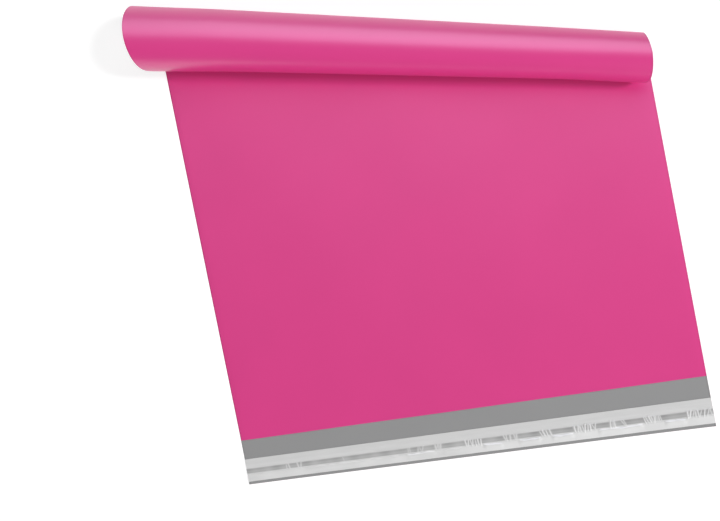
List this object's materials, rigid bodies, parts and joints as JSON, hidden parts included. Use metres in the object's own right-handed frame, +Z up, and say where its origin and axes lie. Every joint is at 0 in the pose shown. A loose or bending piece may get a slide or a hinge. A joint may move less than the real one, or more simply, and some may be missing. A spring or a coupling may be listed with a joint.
{
  "type": "poly mailer bag",
  "caption": "Flat film mailing bag, open end forward with its flap and release liner face up, and its closed end rolled up askew over the front panel.",
  "frame": {"origin": "middle of the bag's box, on the surface that it lies on", "axes": "+Z up, -Y towards the flap's free edge, +Y towards the roll, +X to the right seen from the flap"},
  "size_m": [0.368, 0.3964, 0.0487],
  "materials": {
    "film": "smooth satin polyethylene, pink outside and grey inside",
    "adhesive": "clear tacky hot melt",
    "liner": "smooth translucent film, crinkled"
  },
  "bodies": {
    "root": {"bag_film": "film", "adhesive_strip": "adhesive", "release_liner": "liner"}
  },
  "joints": []
}
